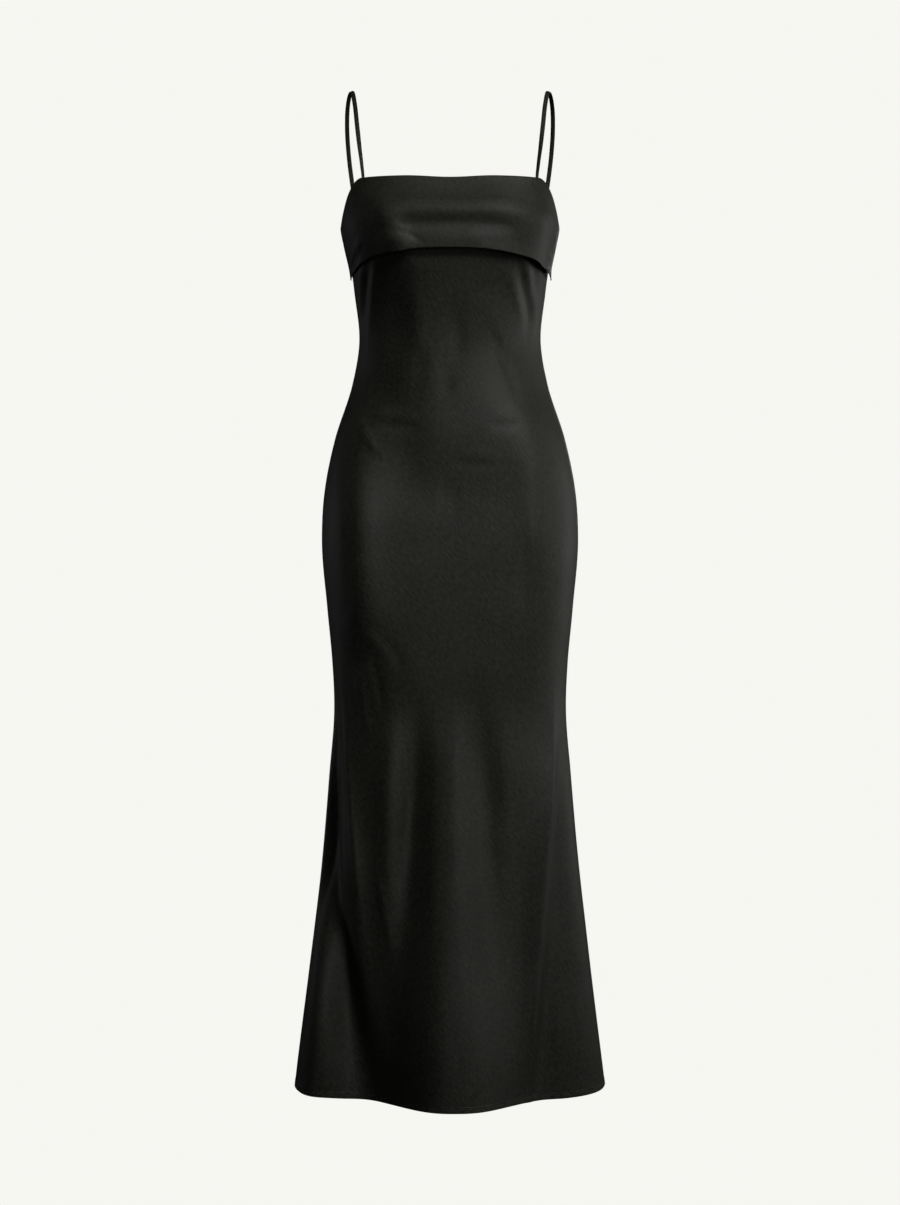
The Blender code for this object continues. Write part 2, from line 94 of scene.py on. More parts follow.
# The cuff, a doubled band folded out over the front's top edge and down again inside it. Its
# ripples and creases come in over the share CUFF_SOFT_SHARE of its height, about CUFF_HEIGHT.
CUFF_WALL = 0.0016
CUFF_HEIGHT = 0.10
CUFF_TOP_LIFT = 0.0013
CUFF_RETURN = 0.012
CUFF_CENTRE_REACH = 0.058
CUFF_SIDE_REACH = 0.108
CUFF_END_X = 0.150
CUFF_END_FADE = 0.035
CUFF_SOFT_SHARE = 0.2

# The cuff's lower edge is a round fold. Its rows lie these shares of half the cuff's thickness
# up from the edge, and at the edge itself it keeps the share CUFF_FOLD_TIP of its thickness.
CUFF_FOLD_ROWS = (0.0, 0.08, 0.25, 0.55, 1.0)
CUFF_FOLD_TIP = 0.1

# Straps: flattened tubes, sewn inside the two top edges
STRAP_WIDTH = 0.0062
STRAP_THICK = 0.0022
STRAP_SEWN = 0.012
STRAP_EASE = 0.0006
STRAP_FRONT_X = 0.1212
STRAP_BACK_X = 0.1260
STRAP_GIRTH_SHARE = 2.2
STRAP_SQUARENESS = 0.8

# How a strap lies, in shares of its length: flat on the cloth up to the first place and from
# the second, turned over TURN_REACH to lie tilted on the shoulder, twisted near the front and
# pinched at its front end. Its thickness varies in two waves, given in radians a station.
STRAP_LEAVES_FRONT = 0.06
STRAP_MEETS_BACK = 0.84
STRAP_TURN_REACH = 0.10
STRAP_TILT = math.radians(20)
STRAP_TWIST = math.radians(62)
STRAP_TWIST_AT = 0.07
STRAP_TWIST_REACH = 0.11
STRAP_TWIST_FROM = 0.03
STRAP_TWIST_FADE = 0.03
STRAP_PINCH = 0.42
STRAP_PINCH_REACH = 0.16
STRAP_UNEVEN = 0.012
STRAP_WAVES = (0.9, 0.23)

# How finely each shell is divided. Rows follow the top edge down to TOP_BLOCK_Z, are level
# below it and take on the hem's lift late, by HEM_POWER. EDGE_ROWS are distances from an edge.
FRONT_COLUMNS = 151
BACK_COLUMNS = 121
TOP_BLOCK_Z = -0.300
TOP_ROWS = 46
BODY_ROWS = 216
HEM_POWER = 12
EDGE_ROWS = (
    0.0, 0.0004, 0.0012, 0.0030, 0.0048, 0.0055, 0.0060, 0.0065, 0.0070, 0.0075, 0.0082, 0.0095,
)
CUFF_ROWS = 64
CUFF_RETURN_ROWS = 6
ROLL_ROWS = 14
STRAP_SIDES = 20
STRAP_STATIONS = 260
SECTION_SAMPLES = 96
CLOTH_SAMPLES = 400
SMALLEST_STEP = 1e-12
NORMAL_STEP_U = 0.004
NORMAL_STEP_Z = 0.001
SHARP_ANGLE = math.radians(60)

# The photograph's framing: a level camera in front of the dress
CAMERA_DISTANCE = 3.6
CAMERA_X = 0.0
CAMERA_Z = -0.7027
FOCAL_PIXELS = 2608.7
PHOTO_HEIGHT = 1205
SENSOR = 36.0

# Plan outline of the cloth's outside at each height. flat is how level it runs across the
# middle (2 is an ellipse) and corner how sharp it turns at the side seam (0.5 is an ellipse).
SECTION_COLUMNS = (
    "z", "half_width", "front", "back", "front_flat", "front_corner", "back_flat", "back_corner",
)
SECTIONS = (
    (-0.100, 0.1497, 0.0870, 0.0800, 3.20, 0.42, 2.20, 0.46),
    (-0.130, 0.1497, 0.0950, 0.0850, 3.40, 0.44, 2.20, 0.46),
    (-0.160, 0.1497, 0.1060, 0.0890, 3.80, 0.48, 2.20, 0.46),
    (-0.188, 0.1491, 0.1130, 0.0910, 4.00, 0.52, 2.20, 0.46),
    (-0.214, 0.1440, 0.1130, 0.0905, 3.80, 0.56, 2.20, 0.46),
    (-0.247, 0.1362, 0.1060, 0.0865, 3.40, 0.62, 2.20, 0.46),
    (-0.280, 0.1317, 0.0985, 0.0800, 3.00, 0.70, 2.15, 0.47),
    (-0.343, 0.1257, 0.0885, 0.0720, 2.80, 0.76, 2.10, 0.48),
    (-0.401, 0.1350, 0.0890, 0.0800, 3.00, 0.70, 2.10, 0.48),
    (-0.478, 0.1590, 0.0960, 0.1030, 4.00, 0.62, 2.15, 0.47),
    (-0.556, 0.1740, 0.0948, 0.1200, 5.00, 0.60, 2.20, 0.46),
    (-0.614, 0.1770, 0.0985, 0.1240, 5.00, 0.60, 2.20, 0.46),
    (-0.710, 0.1696, 0.0990, 0.1140, 4.20, 0.58, 2.20, 0.46),
    (-0.788, 0.1624, 0.0970, 0.1040, 3.20, 0.56, 2.15, 0.47),
    (-0.846, 0.1602, 0.0945, 0.0980, 2.60, 0.55, 2.10, 0.48),
    (-0.942, 0.1673, 0.0940, 0.0970, 2.80, 0.51, 2.05, 0.54),
    (-1.058, 0.1773, 0.0890, 0.0980, 3.30, 0.47, 2.00, 0.62),
    (-1.174, 0.1902, 0.0830, 0.1000, 3.70, 0.44, 2.00, 0.70),
    (-1.290, 0.2042, 0.0780, 0.1020, 4.10, 0.43, 2.00, 0.77),
    (-1.376, 0.2152, 0.0715, 0.1040, 4.20, 0.45, 2.00, 0.82),
)

# The large ridges (height over 0) and troughs. Each runs from its top to its end, its width is
# a half width, bow is how far its middle stands to the right, and the two fades are the shares
# of its length over which it comes and goes; 0 lets it run out through the hem.
FOLD_COLUMNS = (
    "panel", "x_top", "z_top", "x_end", "z_end", "width_top", "width_end", "height",
    "fade_in", "fade_out", "bow", "roundness",
)
FOLDS = (
    # the skirt's front: one wide centre flute between two side troughs, with ridges above
    (FRONT, 0.004, -0.830, 0.006, -1.378, 0.050, 0.079, 0.0910, 1.15, 0.0, 0.0, 2.7),
    (FRONT, -0.172, -0.860, -0.080, -1.500, 0.010, 0.034, -0.0260, 0.50, 0.45, -0.028, 2.2),
    (FRONT, 0.157, -0.840, 0.118, -1.500, 0.012, 0.022, -0.0080, 0.35, 0.35, 0.0, 2.0),
    (FRONT, -0.146, -0.830, -0.116, -1.150, 0.010, 0.012, 0.0036, 0.30, 0.45, -0.002, 2.0),
    (FRONT, -0.167, -0.780, -0.158, -1.120, 0.020, 0.024, -0.0105, 0.40, 0.50, 0.0, 2.0),
    (FRONT, -0.156, -1.040, -0.186, -1.376, 0.012, 0.020, 0.0100, 0.60, 0.0, 0.0, 2.0),
    (FRONT, -0.083, -0.800, -0.078, -1.270, 0.018, 0.019, 0.0070, 0.36, 0.40, 0.0, 2.0),
    (FRONT, -0.042, -0.810, -0.066, -1.290, 0.015, 0.024, -0.0125, 0.35, 0.60, 0.0, 2.0),
    (FRONT, 0.006, -0.820, 0.022, -1.300, 0.022, 0.028, 0.0045, 0.30, 0.60, 0.0, 2.0),
    (FRONT, 0.038, -0.800, 0.057, -1.340, 0.019, 0.028, -0.0150, 0.30, 0.45, 0.0, 2.0),
    (FRONT, 0.143, -0.800, 0.101, -1.376, 0.013, 0.015, 0.0115, 0.35, 0.25, 0.0, 2.0),
    # the bodice's front: folds that fan out from under the cuff to the waist
    (FRONT, -0.118, -0.232, -0.121, -0.345, 0.006, 0.006, 0.0030, 0.30, 0.50, -0.002, 2.0),
    (FRONT, -0.110, -0.232, -0.119, -0.365, 0.007, 0.007, -0.0042, 0.30, 0.50, -0.002, 2.0),
    (FRONT, -0.101, -0.232, -0.117, -0.385, 0.007, 0.007, 0.0030, 0.30, 0.50, -0.002, 2.0),
    (FRONT, 0.099, -0.232, 0.120, -0.335, 0.007, 0.008, 0.0018, 0.30, 0.50, 0.002, 2.0),
    (FRONT, 0.090, -0.232, 0.117, -0.355, 0.008, 0.008, -0.0028, 0.30, 0.50, 0.002, 2.0),
    (FRONT, 0.117, -0.228, 0.116, -0.345, 0.006, 0.006, -0.0022, 0.25, 0.50, 0.0, 2.0),
    (FRONT, 0.011, -0.280, 0.010, -0.430, 0.012, 0.014, -0.0022, 0.50, 0.50, 0.0, 2.0),
    (FRONT, -0.073, -0.240, -0.078, -0.420, 0.020, 0.022, -0.0060, 0.40, 0.50, 0.0, 2.0),
    # the bust's left turn, under the cuff too
    (FRONT, -0.103, -0.142, -0.052, -0.270, 0.017, 0.020, 0.0074, 0.32, 0.50, 0.0, 2.0),
    # the belly and hips: a soft hollow on the left, over a fuller hip
    (FRONT, -0.084, -0.350, -0.058, -0.600, 0.034, 0.042, -0.0100, 0.40, 0.45, 0.0, 2.0),
    (FRONT, -0.108, -0.340, -0.110, -0.560, 0.026, 0.030, -0.0045, 0.40, 0.40, 0.0, 2.0),
    (FRONT, -0.130, -0.490, -0.112, -0.800, 0.026, 0.030, 0.0100, 0.35, 0.40, 0.0, 2.0),
    (FRONT, 0.112, -0.450, 0.112, -0.700, 0.022, 0.022, 0.0040, 0.40, 0.40, 0.0, 2.0),
    # the skirt's back: two flutes either side of a centre trough, and a trough by each seam
    (BACK, -0.060, -0.830, -0.088, -1.376, 0.040, 0.060, 0.0460, 1.10, 0.0, 0.0, 2.2),
    (BACK, 0.058, -0.810, 0.078, -1.376, 0.042, 0.064, 0.0500, 1.10, 0.0, 0.0, 2.2),
    (BACK, 0.152, -0.880, 0.155, -1.376, 0.012, 0.024, -0.0100, 0.80, 0.0, 0.0, 2.0),
    (BACK, -0.152, -0.900, -0.160, -1.376, 0.012, 0.024, -0.0100, 0.80, 0.0, 0.0, 2.0),
    (BACK, -0.020, -0.860, -0.030, -1.250, 0.014, 0.026, -0.0070, 0.35, 0.50, 0.0, 2.0),
    (BACK, 0.095, -0.800, 0.105, -1.180, 0.014, 0.022, 0.0050, 0.30, 0.60, 0.0, 2.0),
    # the upper back: one soft trough down from each strap
    (BACK, -0.085, -0.195, -0.108, -0.330, 0.010, 0.010, -0.0030, 0.40, 0.50, 0.0, 2.0),
    (BACK, 0.085, -0.195, 0.108, -0.330, 0.010, 0.010, -0.0030, 0.40, 0.50, 0.0, 2.0),
)
FOLD_FADE_AT_SEAM = 0.022

# The small creases, straight or slightly bowed, from one end to the other as x and z. width is
# a half width, and bow is how far the middle stands off the straight line. Each comes and
# goes over CREASE_END_SHARE of its length at either end.
CREASE_COLUMNS = ("panel", "x_a", "z_a", "x_b", "z_b", "width", "height", "bow")
CREASES = (
    # under the cuff and over the waist
    (FRONT, -0.046, -0.265, -0.044, -0.375, 0.0110, 0.0012, 0.000),
    (FRONT, 0.052, -0.280, 0.056, -0.360, 0.0150, 0.0013, 0.000),
    (FRONT, 0.048, -0.322, 0.096, -0.436, 0.0065, -0.0024, 0.003),
    (FRONT, -0.004, -0.345, -0.005, -0.440, 0.0140, -0.0013, 0.000),
    (FRONT, 0.010, -0.355, 0.010, -0.440, 0.0130, 0.0009, 0.000),
    (FRONT, 0.110, -0.270, 0.107, -0.350, 0.0055, -0.0016, 0.000),
    (FRONT, 0.117, -0.268, 0.116, -0.350, 0.0060, 0.0016, 0.000),
    (FRONT, -0.042, -0.345, -0.044, -0.445, 0.0150, -0.0016, 0.000),
    (FRONT, 0.074, -0.250, 0.101, -0.330, 0.0060, 0.0010, 0.002),
    # drag lines over the belly and hips
    (FRONT, -0.118, -0.448, -0.040, -0.453, 0.0080, 0.0022, 0.000),
    (FRONT, -0.108, -0.464, -0.032, -0.471, 0.0070, -0.0016, 0.003),
    (FRONT, 0.048, -0.467, 0.102, -0.464, 0.0065, -0.0014, 0.002),
    (FRONT, -0.131, -0.432, -0.092, -0.506, 0.0075, 0.0020, -0.008),
    (FRONT, -0.124, -0.502, -0.090, -0.510, 0.0055, -0.0008, 0.001),
    (FRONT, 0.025, -0.508, 0.074, -0.509, 0.0060, 0.0006, 0.002),
    (FRONT, 0.003, -0.518, 0.060, -0.519, 0.0060, -0.0007, 0.002),
    (FRONT, 0.113, -0.508, 0.142, -0.512, 0.0055, -0.0010, 0.001),
    (FRONT, -0.020, -0.556, 0.018, -0.560, 0.0180, -0.0012, 0.000),
    (FRONT, -0.141, -0.440, -0.131, -0.740, 0.0090, -0.0018, 0.003),
    (FRONT, 0.100, -0.590, 0.101, -0.745, 0.0080, -0.0009, 0.000),
    # the fold above the left knee
    (FRONT, -0.122, -0.738, -0.069, -0.790, 0.0080, 0.0013, 0.003),
    (FRONT, -0.098, -0.748, -0.060, -0.800, 0.0080, -0.0010, 0.003),
    (FRONT, -0.127, -0.775, -0.109, -0.895, 0.0070, 0.0024, 0.000),
    (FRONT, -0.109, -0.762, -0.089, -0.860, 0.0060, -0.0016, 0.002),
    # the skirt's finer ridges and troughs
    (FRONT, -0.153, -0.740, -0.113, -1.190, 0.0050, 0.0026, -0.003),
    (FRONT, -0.156, -0.800, -0.156, -1.220, 0.0120, 0.0032, 0.000),
    (FRONT, -0.104, -1.045, -0.073, -1.200, 0.0050, 0.0013, 0.002),
    (FRONT, -0.076, -0.820, -0.070, -1.080, 0.0110, 0.0010, 0.000),
    (FRONT, -0.029, -0.845, -0.041, -1.240, 0.0090, -0.0016, 0.002),
    (FRONT, 0.063, -0.845, 0.065, -1.030, 0.0110, -0.0016, 0.000),
    (FRONT, 0.144, -0.790, 0.100, -1.470, 0.0055, 0.0048, 0.000),
    (FRONT, 0.120, -0.820, 0.086, -1.420, 0.0150, 0.0036, 0.000),
    (FRONT, 0.137, -0.850, 0.170, -1.400, 0.0140, -0.0030, 0.000),
    # creases of the same kind on the back, which the photo doesn't show
    (BACK, -0.070, -0.330, 0.064, -0.338, 0.0090, -0.0016, 0.006),
    (BACK, -0.052, -0.365, 0.082, -0.358, 0.0080, -0.0013, 0.004),
    (BACK, -0.118, -0.300, -0.058, -0.322, 0.0070, 0.0013, 0.003),
    (BACK, 0.052, -0.300, 0.114, -0.318, 0.0070, 0.0013, 0.003),
    (BACK, -0.110, -0.455, -0.062, -0.430, 0.0080, -0.0012, 0.003),
    (BACK, 0.060, -0.442, 0.112, -0.462, 0.0080, -0.0012, 0.003),
    (BACK, -0.060, -0.705, 0.052, -0.712, 0.0140, -0.0016, 0.006),
    (BACK, -0.096, -0.760, -0.066, -0.800, 0.0070, 0.0016, 0.003),
    (BACK, 0.028, -0.850, 0.036, -1.240, 0.0090, 0.0016, 0.003),
    (BACK, -0.104, -0.840, -0.128, -1.180, 0.0070, 0.0018, 0.003),
    (BACK, -0.006, -0.900, -0.012, -1.340, 0.0090, -0.0018, 0.002),
    (BACK, 0.130, -0.840, 0.138, -1.340, 0.0070, 0.0018, 0.002),
)
CREASE_END_SHARE = 0.35
CREASE_FADE_AT_SEAM = 0.012

# Height of the cuff's lower edge from the middle (0) out to a side seam (1)
CUFF_LOW_COLUMNS = ("out", "z")
CUFF_LOW = (
    (0.00, -0.2265),
    (0.20, -0.2275),
    (0.39, -0.2315),
    (0.59, -0.2385),
    (0.76, -0.2480),
    (1.00, -0.2585),
)

# How far the cuff's middle layer stands off the front, at its middle and at its side seams,
# from its top (0) to its lower edge (1): a soft roll, a trough across the bust, a free edge.
CUFF_LIFT_COLUMNS = ("down", "left", "centre", "right")
CUFF_LIFTS = (
    (0.00, CUFF_TOP_LIFT, CUFF_TOP_LIFT, CUFF_TOP_LIFT),
    (0.12, 0.0022, 0.0020, 0.0019),
    (0.26, 0.0027, 0.0044, 0.0028),
    (0.38, 0.0028, 0.0082, 0.0044),
    (0.49, 0.0028, 0.0098, 0.0056),
    (0.69, 0.0028, 0.0042, 0.0052),
    (0.84, 0.0030, 0.0088, 0.0064),
    (1.00, 0.0034, 0.0112, 0.0102),
)

# The cuff's small creases, from one end to the other as x and the share of its height
CUFF_CREASE_COLUMNS = ("x_a", "down_a", "x_b", "down_b", "width", "height")
CUFF_CREASES = (
    (-0.096, 0.68, -0.026, 0.95, 0.005, -0.0013),
    (-0.128, 0.72, -0.118, 0.86, 0.005, 0.0010),
    (-0.132, 0.80, -0.124, 0.98, 0.005, -0.0010),
    (0.138, 0.35, 0.131, 0.72, 0.006, -0.0014),
    (0.030, 0.88, 0.110, 0.86, 0.012, -0.0022),
)

# The left strap's free route as x, y and z, from the front's top edge over the shoulder
# to the back's
STRAP_ROUTE = (
    (-0.1198, -0.0655, -0.1080),
    (-0.1224, -0.0610, -0.0880),
    (-0.1262, -0.0490, -0.0560),
    (-0.1306, -0.0275, -0.0190),
    (-0.1338, -0.0130, -0.0028),
    (-0.1368, 0.0040, 0.0021),
    (-0.1402, 0.0215, -0.0030),
    (-0.1428, 0.0350, -0.0160),
    (-0.1438, 0.0465, -0.0400),
    (-0.1424, 0.0550, -0.0700),
    (-0.1390, 0.0585, -0.1020),
    (-0.1340, 0.0565, -0.1330),
)

# Uneven softness of the whole surface: wavelength and height of each layer of noise. Each
# piece takes its own place in the noise, the shift times the three shares.
RIPPLES = (
    (0.110, 0.00080),
    (0.045, 0.00035),
    (0.018, 0.00010),
)
RIPPLE_FADE_AT_SEAM = 0.02
RIPPLE_SHIFTS = {FRONT: 3.0, BACK: 5.0}
CUFF_RIPPLE_SHIFT = 9.0
RIPPLE_SHIFT_SHARES = (1.0, 3.1, 0.7)

# Each cloth's darkest and lightest colour, its roughness and the slant of its ribs in degrees
SATIN_DARK = (0.0072, 0.0076, 0.0056)
SATIN_LIGHT = (0.0205, 0.0212, 0.0168)
CLOTH_COLUMNS = ("name", "dark", "light", "roughness", "slant")
CLOTHS = (
    ("panel_satin", SATIN_DARK, SATIN_LIGHT, 0.57, 50),
    ("cuff_satin", SATIN_DARK, SATIN_LIGHT, 0.57, 50),
    ("strap_satin", (0.0082, 0.0085, 0.0068), (0.0120, 0.0124, 0.0100), 0.70, 45),
)

# What all cloths share. The textures run over the cloth's own lengths, in metres.
CLOTH_SPECULAR = 0.25
ROUGHNESS_RANGE = 0.05
RIB_SCALE = (130.0, 340.0, 1.0)
RIB_NOISE = {"Scale": 1.0, "Detail": 3.0, "Roughness": 0.6}
THREAD_WAVE = {"Scale": 360.0, "Distortion": 0.6}
PATCH_NOISE = {"Scale": 16.0, "Detail": 2.0}
RIB_SHARE = 0.85
PATCH_SHARE = 0.15
TONE_RANGE = (0.36, 0.64)
RIB_BUMP = {"Strength": 0.35, "Distance": 0.0006}
WEAVE_BUMP = {"Strength": 0.25, "Distance": 0.00015}

# The stitches' thread
THREAD_DARK = (0.012, 0.012, 0.011)
THREAD_LIGHT = (0.030, 0.030, 0.027)
THREAD_ROUGHNESS = 0.5
THREAD_TWIST_SCALE = 900.0

# Lights: where they stand, what they face, their size, how wide their grid lets them shine in
# degrees (180 has no grid), watts and colour
WARM_WHITE = (1.0, 0.99, 0.97)
LIGHT_COLUMNS = ("name", "place", "aim", "size", "spread", "watts", "colour")
LIGHTS = (
    ("key_light", (2.25, -3.74, 2.45), (0.0, 0.0, -0.38), 1.6, 36, 8.94, (1.0, 0.99, 0.96)),
    ("front_fill", (0.18, -5.19, -0.17), (0.0, 0.0, -0.35), 1.6, 36, 1.08, WARM_WHITE),
    ("top_light", (0.38, -2.13, 3.61), (0.0, 0.0, -0.45), 1.6, 180, 18.0, WARM_WHITE),
    ("right_fill", (5.02, -1.16, 0.01), (0.0, 0.0, -0.71), 1.6, 40, 2.76, WARM_WHITE),
    ("right_rim", (3.0, 1.6, -0.4), (0.0, 0.0, -0.4), 1.2, 44, 1.43, WARM_WHITE),
    ("left_rim", (-4.5, 2.6, -0.31), (0.0, 0.0, -0.58), 1.6, 26, 0.40, (0.98, 0.99, 1.0)),
    ("back_fill", (0.3, 4.6, 0.8), (0.0, 0.0, -0.70), 2.4, 180, 110.0, WARM_WHITE),
)
BACKGROUND = (0.925, 0.922, 0.888)
AMBIENT = 0.01
FLOOR_Z = -1.400
FLOOR_RADIUS = 60.0
FLOOR_SIDES = 96


def smoothstep(t):
    t = np.clip(t, 0.0, 1.0)
    return t * t * (3.0 - 2.0 * t)


def unit(vectors):
    """The same vectors at length 1."""
    return vectors / np.linalg.norm(vectors, axis=-1, keepdims=True)


def run_along(points, axis=0):
    """The length covered so far at each point, along one axis of a line or grid of points."""
    first = np.take(points, [0], axis=axis)
    return np.linalg.norm(np.diff(points, axis=axis, prepend=first), axis=-1).cumsum(axis)


def curve_through(xs, ys, at):
    """Cubic Hermite curve through the points, read at these places; xs may run down."""
    xs, ys = np.asarray(xs, float), np.asarray(ys, float)
    if xs[0] > xs[-1]:
        xs, ys = xs[::-1], ys[::-1]
    at = np.clip(at, xs[0], xs[-1])
    slope = np.gradient(ys, xs)
    i = np.clip(np.searchsorted(xs, at) - 1, 0, len(xs) - 2)
    step = xs[i + 1] - xs[i]
    t = (at - xs[i]) / step
    return (
        (2 * t**3 - 3 * t**2 + 1) * ys[i]
        + (t**3 - 2 * t**2 + t) * step * slope[i]
        + (3 * t**2 - 2 * t**3) * ys[i + 1]
        + (t**3 - t**2) * step * slope[i + 1]
    )


def table_curve(table, columns, along, name, at):
    """The curve of one named column of a table over another, read at these places."""
    xs, ys = ([row[columns.index(key)] for row in table] for key in (along, name))
    return curve_through(xs, ys, at)


def section_value(name, z):
    return table_curve(SECTIONS, SECTION_COLUMNS, "z", name, z)


def section_point(panel, u, z):
    """A point of the plan outline, u of the way from the middle (0) to a seam (+-1) along
    the cloth, as x, y, the outward plan normal and the cloth's length from there to the seam."""
    side = "front" if panel == FRONT else "back"
    half = section_value("half_width", z)[..., None]
    depth = section_value(side, z)[..., None]
    flat = section_value(side + "_flat", z)[..., None]
    corner = section_value(side + "_corner", z)[..., None]
    turn = np.linspace(0.0, math.pi / 2, SECTION_SAMPLES)
    xs = half * np.cos(turn) ** (2.0 / flat)
    ys = depth * np.sin(turn) ** (2.0 * corner)
    xs[..., -1] = 0.0
    steps = np.hypot(np.diff(xs, axis=-1), np.diff(ys, axis=-1))
    run = np.concatenate([np.zeros(steps.shape[:-1] + (1,)), np.cumsum(steps, axis=-1)], axis=-1)
    to_seam = (1.0 - np.abs(u)) * run[..., -1]
    i = np.clip((run <= to_seam[..., None]).sum(axis=-1) - 1, 0, SECTION_SAMPLES - 2)[..., None]

    def read(values, at):
        return np.take_along_axis(values, at, axis=-1)[..., 0]

    step = np.maximum(read(steps, i), SMALLEST_STEP)
    t = (to_seam - read(run, i)) / step
    along_x, along_y = read(xs, i + 1) - read(xs, i), read(ys, i + 1) - read(ys, i)
    x = read(xs, i) + t * along_x
    y = read(ys, i) + t * along_y
    right = np.where(u < 0, -1.0, 1.0)
    x_out, y_out = along_y / step, -along_x / step
    return x * right, panel * (y - SEAM_OVERLAP / 2), x_out * right, panel * y_out, to_seam


def bowed(bow, t):
    """How far a bowed line stands off the straight one, t of the way along it."""
    return bow * 4 * t * (1 - t)


def fold_offset(panel, x, z, to_seam):
    """How far the large folds move the cloth outwards."""
    total = np.zeros_like(x)
    for row in FOLDS:
        fold = dict(zip(FOLD_COLUMNS, row))
        if fold["panel"] != panel:
            continue
        t = (fold["z_top"] - z) / (fold["z_top"] - fold["z_end"])
        inside = np.clip(t, 0.0, 1.0)
        x_at = fold["x_top"] + (fold["x_end"] - fold["x_top"]) * inside
        x_at = x_at + bowed(fold["bow"], inside)
        width = fold["width_top"] + (fold["width_end"] - fold["width_top"]) * inside
        strength = smoothstep(t / fold["fade_in"])
        if fold["fade_out"] > 0:
            strength = strength * smoothstep((1 - t) / fold["fade_out"])
        across = np.abs((x - x_at) / width) ** fold["roundness"]
        total += fold["height"] * strength * np.exp(-across)
    return total * smoothstep(to_seam / FOLD_FADE_AT_SEAM)


def crease_profile(x, z, x_a, z_a, x_b, z_b, width, bow):
    """1 along a crease, falling off across it and towards its ends."""
    along_x, along_z = x_b - x_a, z_b - z_a
    length = math.hypot(along_x, along_z)
    along_x, along_z = along_x / length, along_z / length
    t = ((x - x_a) * along_x + (z - z_a) * along_z) / length
    off = (x - x_a) * -along_z + (z - z_a) * along_x
    off = off - bowed(bow, np.clip(t, 0.0, 1.0))
    ends = smoothstep(t / CREASE_END_SHARE) * smoothstep((1 - t) / CREASE_END_SHARE)
    return np.exp(-((off / width) ** 2)) * ends


def crease_offset(panel, x, z, to_seam):
    """How far the small creases move the cloth outwards."""
    total = np.zeros_like(x)
    for row in CREASES:
        crease = dict(zip(CREASE_COLUMNS, row))
        if crease.pop("panel") != panel:
            continue
        height = crease.pop("height")
        total += height * crease_profile(x, z, **crease)
    return total * smoothstep(to_seam / CREASE_FADE_AT_SEAM)


def ripple(points, shift):
    """Soft unevenness, from layers of smooth noise over the surface."""
    flat = points.reshape(-1, 3)
    move = Vector([shift * share for share in RIPPLE_SHIFT_SHARES])
    total = np.zeros(len(flat))
    for length, height in RIPPLES:
        values = [noise.noise(Vector(p) / length + move) for p in flat]
        total += height * np.array(values)
    return total.reshape(points.shape[:-1])


def cloth_point(panel, u, z):
    """The cloth's outside with its large folds and creases, without its ripples."""
    x, y, x_out, y_out, to_seam = section_point(panel, u, z)
    offset = fold_offset(panel, x, z, to_seam) + crease_offset(panel, x, z, to_seam)
    return np.stack([x + x_out * offset, y + y_out * offset, z], axis=-1)


def grid_normals(points, panel):
    """Unit normals of a grid whose rows run down and columns run to +X, facing outwards."""
    return unit(np.cross(np.gradient(points, axis=0), np.gradient(points, axis=1)) * -panel)


def turned_out_at_seams(normal):
    """The same normals, but straight out to the side at both side seams."""
    normal[..., 0, :] = (-1, 0, 0)
    normal[..., -1, :] = (1, 0, 0)
    return normal


def half_length(panel, z):
    """The cloth's length from the middle to a side seam at this height."""
    z = np.asarray(z, float)
    return section_point(panel, np.zeros_like(z), z)[4]


def top_edge(panel, u):
    """Height of a panel's top edge: the armhole from the underarm up, then the neckline."""
    to_seam = (1 - np.abs(u)) * half_length(panel, UNDERARM_Z)
    from_middle = np.abs(u) * half_length(panel, UNDERARM_Z)
    if panel == FRONT:
        reach, power, corner = FRONT_ARMHOLE_REACH, FRONT_ARMHOLE_POWER, FRONT_CORNER_Z
        dip, dip_reach = FRONT_DIP, FRONT_DIP_REACH
    else:
        reach, power, corner = BACK_ARMHOLE_REACH, BACK_ARMHOLE_POWER, BACK_CORNER_Z
        dip, dip_reach = BACK_DIP, BACK_DIP_REACH
    rise = smoothstep(to_seam / reach) ** power
    sag = dip * (1 - smoothstep(from_middle / dip_reach))
    return UNDERARM_Z + (corner - UNDERARM_Z) * rise - sag


def hem_edge(panel, u):
    """Height of the hem, which each side seam draws up a little."""
    to_seam = (1 - np.abs(u)) * half_length(panel, HEM_Z)
    return HEM_Z + HEM_LIFT_AT_SEAM * np.exp(-to_seam / HEM_LIFT_REACH)


def panel_heights(panel, u):
    """Rows from the top edge down to the hem, closer together at both edges."""
    top, hem = top_edge(panel, u), hem_edge(panel, u)
    edge = EDGE_ROWS[-1]
    rows = [top - distance for distance in EDGE_ROWS]
    for t in np.linspace(0, 1, TOP_ROWS)[1:]:
        rows.append((top - edge) * (1 - t) + TOP_BLOCK_Z * t)
    for t in np.linspace(0, 1, BODY_ROWS)[1:-1]:
        level = TOP_BLOCK_Z + (HEM_Z + edge - TOP_BLOCK_Z) * t
        rows.append(level + (hem - HEM_Z) * t**HEM_POWER)
    rows += [hem + distance for distance in reversed(EDGE_ROWS)]
    return np.array(rows)


def turned_edge(distance):
    """The rise of a narrow turned edge, with the groove that its stitching pulls in."""
    turn = TURN_RISE * smoothstep((TURN_END - distance) / TURN_STEP)
    groove = STITCH_GROOVE * np.exp(-(((distance - STITCH_INSET) / STITCH_GROOVE_REACH) ** 2))
    return turn - groove


def add_object(name, data):
    obj = bpy.data.objects.new(name, data)
    bpy.context.scene.collection.objects.link(obj)
    return obj


